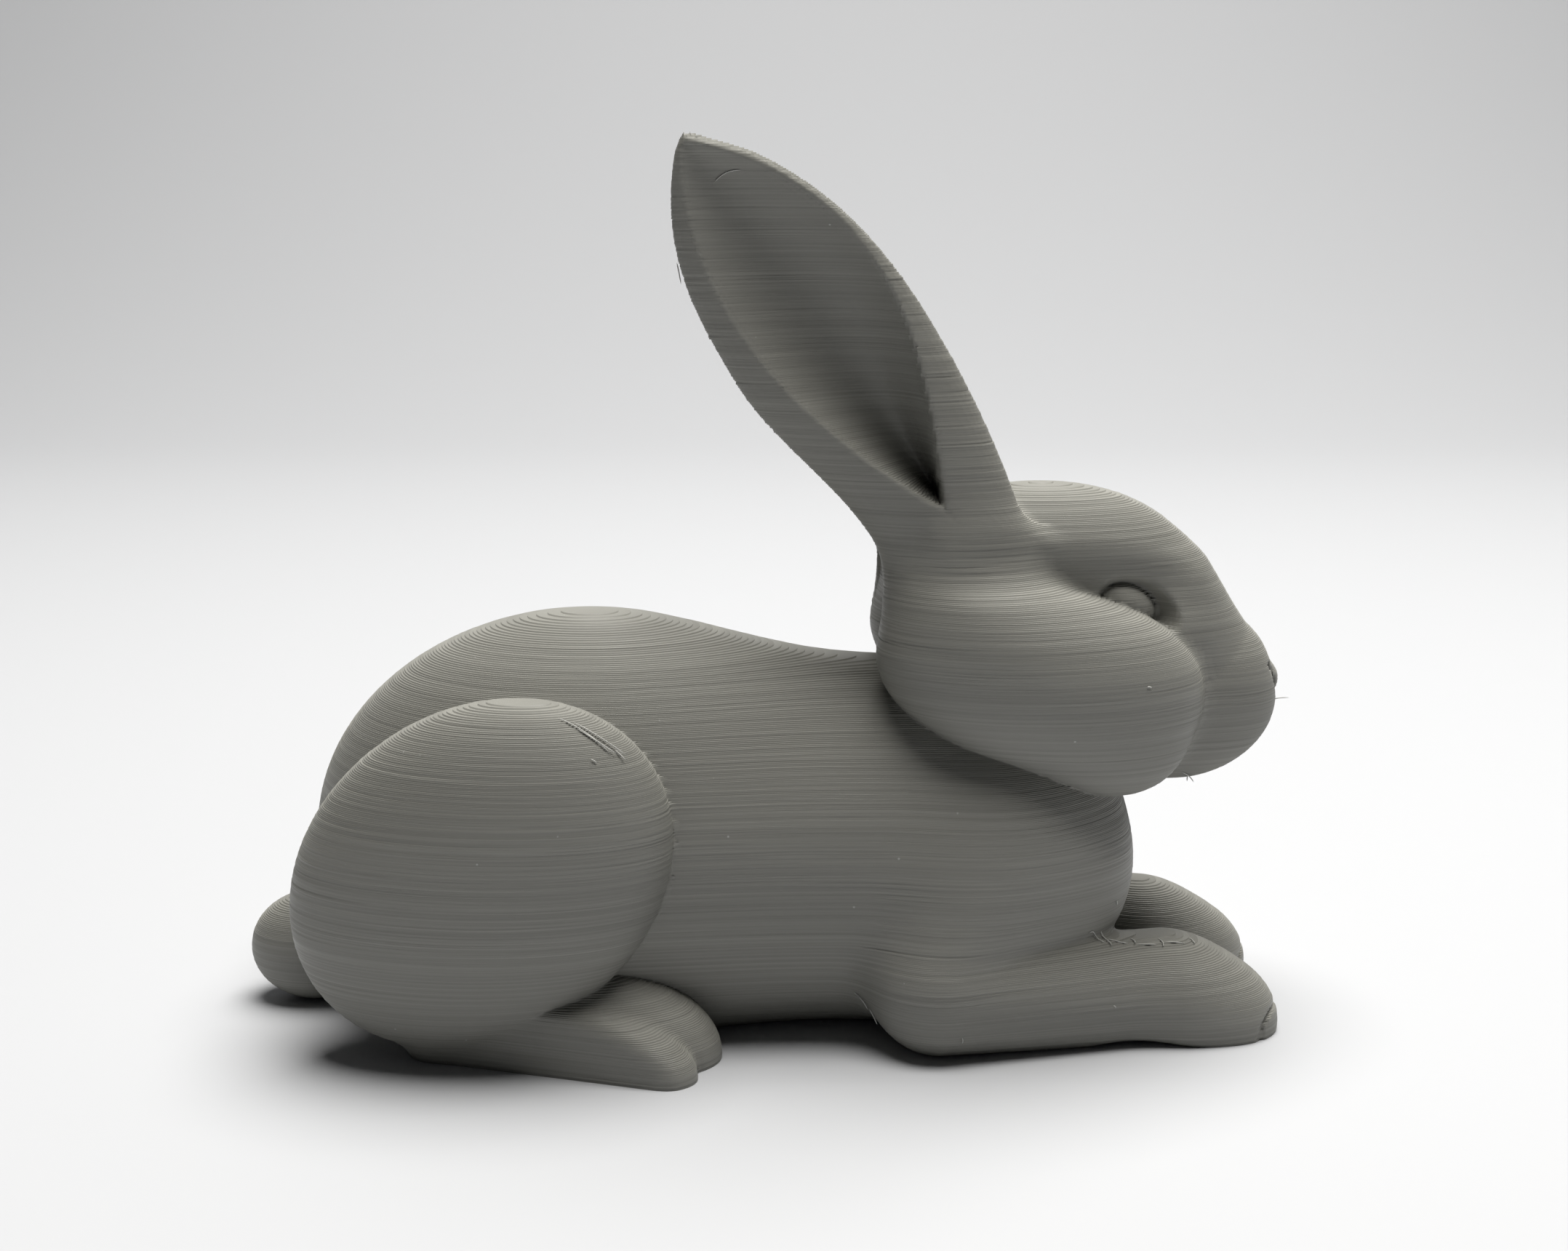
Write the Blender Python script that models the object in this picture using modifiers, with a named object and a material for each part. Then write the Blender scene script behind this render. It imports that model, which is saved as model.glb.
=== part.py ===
"""Lying rabbit figurine, printed in one piece and rebuilt here as its named sub-parts.

The nose points to +X, the left side of the rabbit is +Y, and the floor is z = 0. The origin is
under the middle of the figure. Every form is a blend of eggs and tapered limbs: a rough union of
primitives is remeshed, its vertices are settled onto the blended form, and thin cuts part the
result into head, ears, trunk, legs and tail, with the same small gap between all neighbours.
"""

from math import radians

import bmesh
import bpy
import numpy as np
from mathutils import Matrix, Vector

MM = 0.001
GAP = 0.3 * MM
ROOM = 1.15 * GAP

# An egg is its centre and half-sizes in millimetres, then in degrees how far its front end is
# lifted, how far that end swings outward, and how far its top leans outward.
RUMP = ((-21.96, 0.0, 23.35), (36.4, 24.5, 29.7), (0.0, 0.0, 0.0))
CHEST = ((26.66, 0.0, 21.89), (22.43, 20.5, 23.22), (-15.17, 0.0, 0.0))
SHOULDER = ((31.0, 9.5, 21.0), (17.0, 11.8, 15.0), (0.0, -8.0, 0.0))
PAW = ((57.1, 11.0, 2.6), (10.9, 8.2, 8.0), (-16.0, 6.0, 0.0))
ARCH = ((49.5, 12.0, -9.0), (15.0, 40.0, 9.5), (0.0, 0.0, 0.0))
HAUNCH = ((-34.3, 21.2, 23.7), (26.0, 12.0, 20.5), (36.0, 5.0, 0.0))
FOOT_SIDE = ((-25.2, 24.8, 0.8), (18.8, 8.0, 8.3), (-2.0, 17.2, 0.0))
FOOT_TOES = ((-20.0, 20.7, 2.2), (15.9, 9.5, 9.0), (-8.0, 8.0, 0.0))
TAIL = ((-59.5, 0.0, 7.2), (8.6, 6.8, 7.3), (0.0, 0.0, 0.0))
CRANIUM = ((37.4, 0.0, 53.3), (21.9, 13.5, 17.2), (-22.7, 0.0, 0.0))
JAW = ((46.0, 0.0, 41.5), (13.0, 11.5, 10.0), (-8.0, 0.0, 0.0))
LIPS = ((56.3, 2.0, 40.1), (11.6, 7.0, 8.6), (18.2, 0.0, 0.0))
NOSE = ((66.1, 0.0, 44.3), (2.4, 3.1, 2.2), (-60.0, 0.0, 0.0))
TEMPLE = ((37.0, 17.9, 58.6), (27.0, 6.8, 4.6), (-3.0, -12.0, 0.0))
CHEEK = ((36.48, 11.0, 46.14), (20.79, 11.6, 12.19), (-20.06, -6.76, 0.0))
EYE = ((47.2, 7.6, 55.1), (4.1, 2.7, 2.8), (-25.0, -20.0, 0.0))
SOCKET = ((48.8, 13.0, 55.6), (6.3, 6.8, 4.5), (-25.0, -20.0, 0.0))

# How square the side outline of the two fuller eggs is, 2 being an ellipse, and how much taller
# they grow from middle to front.
CRANIUM_OUTLINE = (2.0, 0.23)
CHEEK_OUTLINE = (2.6, 0.09)

# The crease between cheek and skull: its width under the eye, and how much wider it opens behind
# and ahead, each with the two places along x between which that changes.
CREASE_EYE = 0.3
CREASE_BEHIND = (5.5, 32.0, 44.0)
CREASE_AHEAD = (1.0, 51.0, 56.0)

# The outer side of a foot is cut flat: a place on that wall and how far it swings outward.
FOOT_WALL = (-42.0, 23.6)
FOOT_WALL_SWING = 17.2

# A limb is its two end centres and its radius at each, in millimetres.
UPPER_ARM = ((30.0, 11.5, 27.0), (22.8, 17.9, 9.0), 10.0, 8.6)
FOREARM = ((23.3, 18.2, 7.8), (52.0, 11.7, 5.0), 8.6, 7.3)
BRIDGE = ((51.8, 0.0, 51.4), (59.0, 0.0, 44.6), 9.55, 8.3)
NAPE = ((23.6, 8.5, 50.0), (25.6, 8.8, 61.0), 6.4, 5.6)

# Widths over which neighbouring forms run into each other, in millimetres.
BACK_BLEND = 27.4
ARM_BLEND = 5.0
CREASE_BLEND = 1.2
TOE_BLEND = 0.7
WALL_BLEND = 1.2
ARCH_BLEND = 1.5
FACE_BLEND = 4.0
JAW_BLEND = 5.0
LIPS_BLEND = 2.0
NOSE_BLEND = 0.5
SOCKET_BLEND = 0.6

# The ear lies in its own frame: s along its length from the root, t across it towards the front,
# w outward through its thickness. An edge is its reach, where it starts to close in along the
# ear, and the power of that curve.
EAR_ROOT = Vector((24.0, 9.2, 60.0))
EAR_LEAN = -31.1
EAR_SPLAY = 1.1
EAR_TIP = 64.1
EAR_REACH = (-2.0, 63.2)
EAR_FRONT = (14.2, 26.0, 2.5)
EAR_REAR = (10.4, 34.0, 2.95)
EAR_FRONT_BOW = 0.0041
EAR_STALK = (4.5, 26.0)
EAR_FACE = 4.6
EAR_BACK = 7.2
EAR_SLIM = 0.9
EAR_THINNING = (0.594, 8.0, 56.0, 1.6)

# The scoop of the ear: where it starts along the ear and how long it is, the place of its middle
# and how that turns, the swell of its two edges, its depth at the foot and how much is lost, how
# it fades at the tip, leans to the front edge and rounds its floor.
SCOOP_START = 7.8
SCOOP_LENGTH = 54.4
SCOOP_MIDDLE = 3.95
SCOOP_TURN = 0.086
SCOOP_FRONT = (11.0, 1.3)
SCOOP_REAR = (7.9, 1.15)
SCOOP_SWELL = 0.75
SCOOP_DEPTH = (8.2, 3.2)
SCOOP_RIM = 0.8
SCOOP_FADE = 5
SCOOP_LEAN = 1.15
SCOOP_ROUND = 0.75

# The foreleg is parted from the trunk by a hull round its shoulder, elbow and paw.
FORELEG_PARTING = (((31.0, 19.5, 20.0), 12.5), ((20.0, 18.0, 6.0), 11.0), ((64.0, 12.5, 4.0), 12.2))

PRINT_GREY = (0.25, 0.248, 0.227, 1.0)
PRINT_ROUGHNESS = 0.5


def clear_scene():
    for item in list(bpy.data.objects):
        bpy.data.objects.remove(item, do_unlink=True)


def new_collection(name):
    collection = bpy.data.collections.new(name)
    bpy.context.scene.collection.children.link(collection)
    return collection


def print_material(name):
    material = bpy.data.materials.new(name)
    material.use_nodes = True
    shader = material.node_tree.nodes["Principled BSDF"]
    shader.inputs["Base Color"].default_value = PRINT_GREY
    shader.inputs["Roughness"].default_value = PRINT_ROUGHNESS
    shader.inputs["Metallic"].default_value = 0.0
    return material


# ---- the forms, as distances in millimetres at points (n, 3) ----


def egg_turn(turns):
    lift, swing, lean = (radians(angle) for angle in turns)
    return Matrix.Rotation(swing, 3, "Z") @ Matrix.Rotation(-lift, 3, "Y") @ Matrix.Rotation(-lean, 3, "X")


def egg(points, form):
    centre, radii, turns = form
    local = (points - np.array(centre)) @ np.array(egg_turn(turns))
    radii = np.array(radii)
    near = np.linalg.norm(local / radii, axis=1)
    steep = np.linalg.norm(local / radii**2, axis=1) + 1e-9
    return near * (near - 1.0) / steep


def limb(points, form):
    start, end, start_radius, end_radius = form
    start = np.array(start)
    along = np.array(end) - start
    length = np.linalg.norm(along)
    along = along / length
    slope = (start_radius - end_radius) / length
    offset = points - start
    ahead = offset @ along
    aside = np.linalg.norm(offset - ahead[:, None] * along, axis=1)
    place = np.clip(ahead + aside * slope / np.sqrt(1.0 - slope**2), 0.0, length)
    return np.hypot(aside, ahead - place) - (start_radius - slope * place)


def blend(first, second, width):
    near = np.maximum(width - np.abs(first - second), 0.0) / width
    return np.minimum(first, second) - near * near * width * 0.25


def hollow(first, second, width):
    return -blend(-first, second, width)


def ease(value, low, high):
    part = np.clip((value - low) / (high - low), 0.0, 1.0)
    return part * part * (3.0 - 2.0 * part)


def mirrored(points):
    return points * np.array((1.0, 0.0, 1.0)) + np.abs(points) * np.array((0.0, 1.0, 0.0))


def body_form(points):
    """Rump and chest run together in a long saddle; the shoulders swell out of it, and each
    forearm leaves it with a crease and arches a little off the floor."""
    points = mirrored(points)
    trunk = blend(egg(points, RUMP), egg(points, CHEST), BACK_BLEND)
    arm = blend(egg(points, SHOULDER), limb(points, UPPER_ARM), ARM_BLEND)
    forearm = blend(limb(points, FOREARM), egg(points, PAW), ARM_BLEND)
    forearm = hollow(forearm, egg(points, ARCH), ARCH_BLEND)
    return blend(blend(trunk, arm, ARM_BLEND), forearm, CREASE_BLEND)


def foot_form(points):
    """Two toes side by side, cut flat along the outer side."""
    foot = blend(egg(points, FOOT_SIDE), egg(points, FOOT_TOES), TOE_BLEND)
    swing = radians(FOOT_WALL_SWING)
    outward = (points[:, 1] - FOOT_WALL[1]) * np.cos(swing) - (points[:, 0] - FOOT_WALL[0]) * np.sin(swing)
    return hollow(foot, -outward, WALL_BLEND)


def cushion(points, form, outline):
    """An egg with a squarer outline from the side, taller towards its front."""
    centre, radii, turns = form
    power, taper = outline
    local = (points - np.array(centre)) @ np.array(egg_turn(turns)) / np.array(radii)
    up = local[:, 2] / (1.0 + taper * local[:, 0])
    side = (np.abs(local[:, 0]) ** power + np.abs(up) ** power) ** (1.0 / power)
    return (np.hypot(side, local[:, 1]) - 1.0) * radii[1]


def skull_form(points):
    skull = blend(cushion(points, CRANIUM, CRANIUM_OUTLINE), limb(points, BRIDGE), FACE_BLEND)
    skull = blend(skull, egg(points, JAW), JAW_BLEND)
    skull = blend(skull, egg(points, LIPS), LIPS_BLEND)
    skull = blend(skull, egg(points, NOSE), NOSE_BLEND)
    return blend(skull, limb(points, NAPE), FACE_BLEND)


def head_form(points):
    """The skull, hollowed at the temples and eyes, with a full cheek that flows into it behind
    and creases against it under the eye."""
    points = mirrored(points)
    skull = hollow(skull_form(points), egg(points, TEMPLE), FACE_BLEND)
    skull = hollow(skull, egg(points, SOCKET), SOCKET_BLEND)
    x = points[:, 0]
    behind = CREASE_BEHIND[0] * (1.0 - ease(x, *CREASE_BEHIND[1:]))
    ahead = CREASE_AHEAD[0] * ease(x, *CREASE_AHEAD[1:])
    return blend(skull, cushion(points, CHEEK, CHEEK_OUTLINE), CREASE_EYE + behind + ahead)


# ---- the meshes ----


def egg_matrix(form, grow=0.0):
    centre, radii, turns = form
    size = Matrix.Diagonal([(radius + grow) * MM for radius in radii]).to_4x4()
    return Matrix.Translation(Vector(centre) * MM) @ egg_turn(turns).to_4x4() @ size


def add_ball(shell, matrix, segments, rings):
    bmesh.ops.create_uvsphere(shell, u_segments=segments, v_segments=rings, radius=1.0, matrix=matrix)


def ball_matrix(centre, radius):
    return Matrix.Translation(Vector(centre) * MM) @ Matrix.Scale(radius * MM, 4)


def add_hull(shell, balls, segments=14, rings=9):
    """The convex hull of a few balls, which for two balls is a tapered limb."""
    hull = bmesh.new()
    for centre, radius in balls:
        add_ball(hull, ball_matrix(centre, radius), segments, rings)
    bmesh.ops.delete(hull, geom=hull.edges, context="EDGES_FACES")
    bmesh.ops.convex_hull(hull, input=hull.verts)
    spare = [vertex for vertex in hull.verts if not vertex.link_faces]
    bmesh.ops.delete(hull, geom=spare, context="VERTS")
    piece = bpy.data.meshes.new("hull")
    hull.to_mesh(piece)
    hull.free()
    shell.from_mesh(piece)
    bpy.data.meshes.remove(piece)


def add_limb(shell, form):
    start, end, start_radius, end_radius = form
    add_hull(shell, ((start, start_radius), (end, end_radius)))


def add_other_side(shell):
    """Adds the mirror image of everything so far, facing outwards."""
    twins = bmesh.ops.duplicate(shell, geom=shell.verts[:] + shell.edges[:] + shell.faces[:])["geom"]
    corners = [item for item in twins if isinstance(item, bmesh.types.BMVert)]
    faces = [item for item in twins if isinstance(item, bmesh.types.BMFace)]
    bmesh.ops.scale(shell, verts=corners, vec=(1.0, -1.0, 1.0))
    bmesh.ops.reverse_faces(shell, faces=faces)


def finish_object(name, shell, collection):
    bmesh.ops.recalc_face_normals(shell, faces=shell.faces)
    mesh = bpy.data.meshes.new(name)
    shell.to_mesh(mesh)
    shell.free()
    item = bpy.data.objects.new(name, mesh)
    collection.objects.link(item)
    return item


def keep_evaluated(item):
    """Fixes what the modifiers make of an object as its own mesh."""
    graph = bpy.context.evaluated_depsgraph_get()
    mesh = bpy.data.meshes.new_from_object(item.evaluated_get(graph))
    item.modifiers.clear()
    item.data = mesh


def slope_of(form, points, reach=0.05):
    axes = np.eye(3) * reach
    return np.stack([form(points + axis) - form(points - axis) for axis in axes], axis=1) / (2.0 * reach)


def settle(item, form, steps=8, flattest=0.05, longest=1.5):
    """Moves each vertex down the slope of the distance until it lies on the form."""
    mesh = item.data
    flat = np.empty(len(mesh.vertices) * 3, dtype=np.float32)
    mesh.vertices.foreach_get("co", flat)
    points = flat.reshape(-1, 3).astype(float) / MM
    for _ in range(steps):
        slope = slope_of(form, points)
        steep = np.maximum((slope**2).sum(axis=1), flattest)
        move = np.clip(form(points) / steep, -longest, longest)
        points = points - slope * move[:, None]
    mesh.vertices.foreach_set("co", (points * MM).astype(np.float32).ravel())
    mesh.update()


def blended(name, eggs, limbs, form, voxel, triangles, collection, paired=True):
    """Remeshes the rough union of some forms, settles it and thins it to a triangle count."""
    shell = bmesh.new()
    for item in eggs:
        add_ball(shell, egg_matrix(item), 24, 16)
    for item in limbs:
        add_limb(shell, item)
    if paired:
        add_other_side(shell)
    body = finish_object(name, shell, collection)
    remesh = body.modifiers.new("Join", "REMESH")
    remesh.mode = "VOXEL"
    remesh.voxel_size = voxel * MM
    keep_evaluated(body)
    settle(body, form)
    thin = body.modifiers.new("Thin", "DECIMATE")
    thin.ratio = triangles / (2.0 * len(body.data.polygons))
    thin.use_collapse_triangulate = True
    keep_evaluated(body)
    return body


def grown_copy(item, name, collection):
    """A cutter: the same facets, moved out along their normals by a little more than the gap."""
    cutter = bpy.data.objects.new(name, item.data.copy())
    collection.objects.link(cutter)
    cutter.hide_render = True
    cutter.display_type = "WIRE"
    cutter.data.update()
    normals = np.empty(len(cutter.data.vertices) * 3, dtype=np.float32)
    cutter.data.vertex_normals.foreach_get("vector", normals)
    flat = np.empty_like(normals)
    cutter.data.vertices.foreach_get("co", flat)
    cutter.data.vertices.foreach_set("co", flat + normals * ROOM)
    cutter.data.update()
    return cutter


def cutting_box(name, corner, far_corner, collection):
    low, high = Vector(corner) * MM, Vector(far_corner) * MM
    shell = bmesh.new()
    size = Matrix.Diagonal(high - low).to_4x4()
    bmesh.ops.create_cube(shell, size=1.0, matrix=Matrix.Translation((low + high) / 2.0) @ size)
    cutter = finish_object(name, shell, collection)
    cutter.hide_render = True
    cutter.display_type = "WIRE"
    return cutter


def carve(item, cutter, operation="DIFFERENCE"):
    step = item.modifiers.new(cutter.name, "BOOLEAN")
    step.operation = operation
    step.solver = "EXACT"
    step.object = cutter


def mirrored_copy(item, name, collection):
    mesh = item.data.copy()
    mesh.transform(Matrix.Scale(-1.0, 4, (0.0, 1.0, 0.0)))
    mesh.flip_normals()
    twin = bpy.data.objects.new(name, mesh)
    collection.objects.link(twin)
    return twin


def copy_of(item, name, collection):
    twin = bpy.data.objects.new(name, item.data.copy())
    collection.objects.link(twin)
    return twin


def single_egg(name, form, segments, rings, collection):
    shell = bmesh.new()
    add_ball(shell, egg_matrix(form), segments, rings)
    return finish_object(name, shell, collection)


def closing(s, edge):
    """How far an edge of the ear still stands out at a height along it."""
    reach, start, power = edge
    return reach * (1.0 - np.clip((s - start) / (EAR_TIP - start), 0.0, 1.0) ** power)


def ear_edges(s):
    """The two edges bow out as powers of the way to the tip; the rear one narrows at the root."""
    front = closing(s, EAR_FRONT) - EAR_FRONT_BOW * np.maximum(EAR_FRONT[1] - s, 0.0) ** 2
    narrowing, length = EAR_STALK
    return front, -closing(s, EAR_REAR) + narrowing * ease(EAR_REAR[1] - s, 0.0, length)


def scoop_edges(s):
    part = np.clip((s - SCOOP_START) / SCOOP_LENGTH, 0.0, 1.0)
    middle = SCOOP_MIDDLE - SCOOP_TURN * (s - SCOOP_START)
    front, rear = (
        width * np.sin(np.pi * part**skew) ** SCOOP_SWELL for width, skew in (SCOOP_FRONT, SCOOP_REAR)
    )
    return part, middle + front, middle - rear


def ear_scoop(s, t, face):
    """The floor of the scoop: a bowl across, deepest at the foot of the ear."""
    part, front, rear = scoop_edges(s)
    across = np.clip((t - rear) / np.maximum(front - rear, 0.02), 0.0, 1.0)
    depth = (SCOOP_DEPTH[0] - SCOOP_DEPTH[1] * part) * (1.0 - part**SCOOP_FADE)
    floor = SCOOP_RIM * face - depth * np.sin(np.pi * across**SCOOP_LEAN) ** SCOOP_ROUND
    return np.where((across > 0.0) & (across < 1.0), floor, face)


def ear_leaf(name, collection, stations=13, around=20, half_width=0.5, crowding=0.9):
    """Loops of a thin oval from root to tip, their outer half pushed in by the scoop."""
    way = np.linspace(0.0, 1.0, stations)
    s = EAR_REACH[0] + (EAR_REACH[1] - EAR_REACH[0]) * np.sin(way * np.pi / 2.0) ** crowding
    s = np.repeat(s[:, None], around, axis=1)
    angle = np.repeat(np.linspace(0.0, 2.0 * np.pi, around, endpoint=False)[None, :], stations, axis=0)
    front, rear = ear_edges(s)
    loss, begin, length, power = EAR_THINNING
    slim = EAR_SLIM - loss * np.clip((s - begin) / length, 0.0, 1.0) ** power
    t = (front + rear) / 2.0 + np.maximum((front - rear) / 2.0, half_width) * np.cos(angle)
    face = EAR_FACE * slim * np.sin(angle)
    scooped = np.minimum(face, ear_scoop(s, t, EAR_FACE * slim))
    w = np.where(face > 0.0, scooped, EAR_BACK * slim * np.sin(angle))
    corners = np.stack([t, w, s], axis=2).reshape(-1, 3) * MM
    shell = bmesh.new()
    points = [shell.verts.new(corner) for corner in corners]
    for ring in range(stations - 1):
        for step in range(around):
            low, high = ring * around, (ring + 1) * around
            after = (step + 1) % around
            corner = (low + step, low + after, high + after, high + step)
            shell.faces.new([points[place] for place in corner])
    shell.faces.new(points[:around])
    shell.faces.new(points[-around:])
    turn = Matrix.Rotation(radians(EAR_LEAN), 4, "Y") @ Matrix.Rotation(-radians(EAR_SPLAY), 4, "X")
    shell.transform(Matrix.Translation(EAR_ROOT * MM) @ turn)
    bmesh.ops.triangulate(shell, faces=shell.faces)
    return finish_object(name, shell, collection)


def parting_hull(name, balls, grow, side, collection):
    shell = bmesh.new()
    sized = [((x, side * y, z), radius + grow) for (x, y, z), radius in balls]
    add_hull(shell, sized, segments=16, rings=10)
    cutter = finish_object(name, shell, collection)
    cutter.hide_render = True
    cutter.display_type = "WIRE"
    return cutter


clear_scene()
rabbit = new_collection("rabbit_figurine")
tools = new_collection("cutters")

floor_cut = cutting_box("floor_cut", (-90.0, -60.0, -40.0), (90.0, 60.0, 0.0), tools)

# The head is one blended form, and the root of each ear ends on its surface.
head = blended("head", (CRANIUM, JAW, LIPS, NOSE, CHEEK), (BRIDGE, NAPE), head_form, 0.7, 1480, rabbit)
head_room = grown_copy(head, "head_room", tools)
ear_left = ear_leaf("ear_left", rabbit)
for ear in (ear_left, mirrored_copy(ear_left, "ear_right", rabbit)):
    carve(ear, head_room)

# Each eye is an egg sunk in its own pocket of the head.
eye_left = single_egg("eye_left", EYE, 12, 8, rabbit)
for eye in (eye_left, mirrored_copy(eye_left, "eye_right", rabbit)):
    carve(head, grown_copy(eye, eye.name + "_pocket", tools))

# Trunk and forelegs are one blended form. The haunches, feet, tail and head sit in pockets of it.
trunk = blended("trunk", (RUMP, CHEST, SHOULDER, PAW), (UPPER_ARM, FOREARM), body_form, 1.3, 1500, rabbit)
haunch_left = single_egg("haunch_left", HAUNCH, 24, 14, rabbit)
foot_left = blended("foot_left", (FOOT_SIDE, FOOT_TOES), (), foot_form, 0.7, 380, rabbit, paired=False)
tail = single_egg("tail", TAIL, 16, 10, rabbit)
haunches = (haunch_left, mirrored_copy(haunch_left, "haunch_right", rabbit))
feet = (foot_left, mirrored_copy(foot_left, "foot_right", rabbit))

for side_name, side in (("left", 1.0), ("right", -1.0)):
    foreleg = copy_of(trunk, "foreleg_" + side_name, rabbit)
    carve(foreleg, parting_hull("parting_" + side_name, FORELEG_PARTING, 0.0, side, tools), "INTERSECT")
    carve(foreleg, head_room)
    carve(foreleg, floor_cut)
for side_name, side in (("left", 1.0), ("right", -1.0)):
    carve(trunk, parting_hull("room_" + side_name, FORELEG_PARTING, GAP / MM, side, tools))
for haunch, foot in zip(haunches, feet):
    haunch_room = grown_copy(haunch, haunch.name + "_room", tools)
    carve(foot, haunch_room)
    carve(trunk, haunch_room)
    carve(trunk, grown_copy(foot, foot.name + "_room", tools))
    carve(haunch, floor_cut)
    carve(foot, floor_cut)
carve(trunk, grown_copy(tail, "tail_room", tools))
carve(trunk, head_room)
carve(trunk, floor_cut)
carve(tail, floor_cut)

for item in rabbit.objects:
    item.data.materials.clear()
    item.data.materials.append(print_material(item.name + "_print"))
    item.data.shade_smooth()
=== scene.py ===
"""Lying rabbit figurine, a grey filament print: forms, layers, finish and studio."""

import bpy
import numpy as np
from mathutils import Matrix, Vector


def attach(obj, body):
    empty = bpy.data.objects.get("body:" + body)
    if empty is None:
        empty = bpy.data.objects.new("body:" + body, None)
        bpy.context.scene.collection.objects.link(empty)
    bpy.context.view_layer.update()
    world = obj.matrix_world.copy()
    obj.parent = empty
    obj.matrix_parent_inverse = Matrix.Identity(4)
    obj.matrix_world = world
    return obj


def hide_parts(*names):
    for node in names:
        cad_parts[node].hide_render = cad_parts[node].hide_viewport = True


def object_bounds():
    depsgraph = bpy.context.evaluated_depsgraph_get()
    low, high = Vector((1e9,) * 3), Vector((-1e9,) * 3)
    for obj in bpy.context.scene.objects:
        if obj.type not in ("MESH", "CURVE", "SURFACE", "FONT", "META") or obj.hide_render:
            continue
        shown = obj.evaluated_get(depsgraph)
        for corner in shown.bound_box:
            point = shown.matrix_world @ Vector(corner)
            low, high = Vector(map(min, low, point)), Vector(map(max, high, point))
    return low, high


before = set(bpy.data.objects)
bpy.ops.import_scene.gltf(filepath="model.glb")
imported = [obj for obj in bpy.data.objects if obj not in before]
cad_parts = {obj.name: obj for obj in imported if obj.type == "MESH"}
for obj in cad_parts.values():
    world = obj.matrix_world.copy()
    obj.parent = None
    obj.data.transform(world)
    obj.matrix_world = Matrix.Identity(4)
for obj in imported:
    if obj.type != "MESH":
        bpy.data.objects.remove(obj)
cad_low, cad_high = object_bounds()

# ---- Trunk ----
# The trunk is a rump and a chest run together in one long saddle, in grey filament, printed lying
# on its belly. Its form, like every form here, is a distance in millimetres from its surface, drawn
# for the left side and mirrored.

RUMP = ((-21.96, 0.0, 23.35), (36.4, 24.5, 29.7))
CHEST = ((26.66, 0.0, 21.89), (22.43, 20.5, 23.22), -15.17)
BACK_BLEND = 27.4


def turned(first, second, degrees):
    """Two coordinates, turned about the third axis."""
    cosine, sine = np.cos(np.radians(degrees)), np.sin(np.radians(degrees))
    return first * cosine + second * sine, second * cosine - first * sine


def egg(x, y, z, centre, radii, lift=0.0, swing=0.0, lean=0.0):
    """Nearly the distance to an ellipsoid: how far out a point lies in radii, times that less one,
    over how steeply it grows there. Its front is lifted and swung outward, and its top leaned
    outward, by degrees."""
    along, across, up = x - centre[0], y - centre[1], z - centre[2]
    along, across = turned(along, across, swing)
    along, up = turned(along, up, lift)
    up, across = turned(up, across, lean)
    along, across, up = along / radii[0], across / radii[1], up / radii[2]
    near = np.sqrt(along**2 + across**2 + up**2)
    steep = np.sqrt((along / radii[0]) ** 2 + (across / radii[1]) ** 2 + (up / radii[2]) ** 2)
    return near * (near - 1.0) / (steep + 1e-6)


def blend(first, second, width):
    """The nearer of two distances, rounded where they differ by less than the width."""
    near = np.maximum(width - np.abs(first - second), 0.0) / width
    return np.minimum(first, second) - near * near * width * 0.25


def cut_out(first, second, width):
    """The first form less the second, with its edge rounded."""
    return -blend(-first, second, width)


def ease(value, low, high):
    """Rises smoothly from 0 at low to 1 at high."""
    part = np.clip((value - low) / (high - low), 0.0, 1.0)
    return part * part * (3.0 - 2.0 * part)


def trunk_form(x, y, z):
    """Two eggs run together over a wide blend."""
    return blend(egg(x, y, z, *RUMP), egg(x, y, z, *CHEST), BACK_BLEND)


# ---- Forelegs ----
# The shoulder swells out of the chest, the elbow rests on the floor, and the forearm lies forward
# from it under a crease, arched a little off the floor before the paw. A fine crease runs round
# the toe. All are printed in one with the trunk.

SHOULDER = ((31.0, 9.5, 21.0), (17.0, 11.8, 15.0), 0.0, -8.0)
UPPER_ARM = ((30.0, 11.5, 27.0), (22.8, 17.9, 9.0), 10.0, 8.6)
FOREARM = ((23.3, 18.2, 7.8), (52.0, 11.7, 5.0), 8.6, 7.3)
PAW = ((57.1, 11.0, 2.6), (10.9, 8.2, 8.0), -16.0, 6.0)
TOE = ((67.0, 13.0, 0.8), (3.2, 6.0, 2.8))
TOE_CREASE = (0.3, 0.45)
ARCH = ((49.5, 12.0, -9.0), (15.0, 40.0, 9.5))
ARM_BLEND = 5.0
ARCH_BLEND = 1.5
CREASE_BLEND = 1.2
TOE_BLEND = 0.3


def limb(x, y, z, start, end, start_radius, end_radius):
    """Distance to a tapered round limb: the foot of each point slides along the axis by the slope
    of the side, and the radius there is taken off."""
    start, end = np.array(start), np.array(end)
    axis = end - start
    length = np.sqrt(axis @ axis)
    axis = axis / length
    slope = (start_radius - end_radius) / length
    along, across, up = x - start[0], y - start[1], z - start[2]
    ahead = along * axis[0] + across * axis[1] + up * axis[2]
    aside = np.sqrt(np.maximum(along**2 + across**2 + up**2 - ahead**2, 0.0))
    place = np.clip(ahead + aside * slope / np.sqrt(1.0 - slope**2), 0.0, length)
    return np.hypot(aside, ahead - place) - (start_radius - slope * place)


def shoulder_form(x, y, z):
    """A flattened egg joined to the tapered upper arm that comes down from the chest."""
    return blend(egg(x, y, z, *SHOULDER), limb(x, y, z, *UPPER_ARM), ARM_BLEND)


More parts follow.
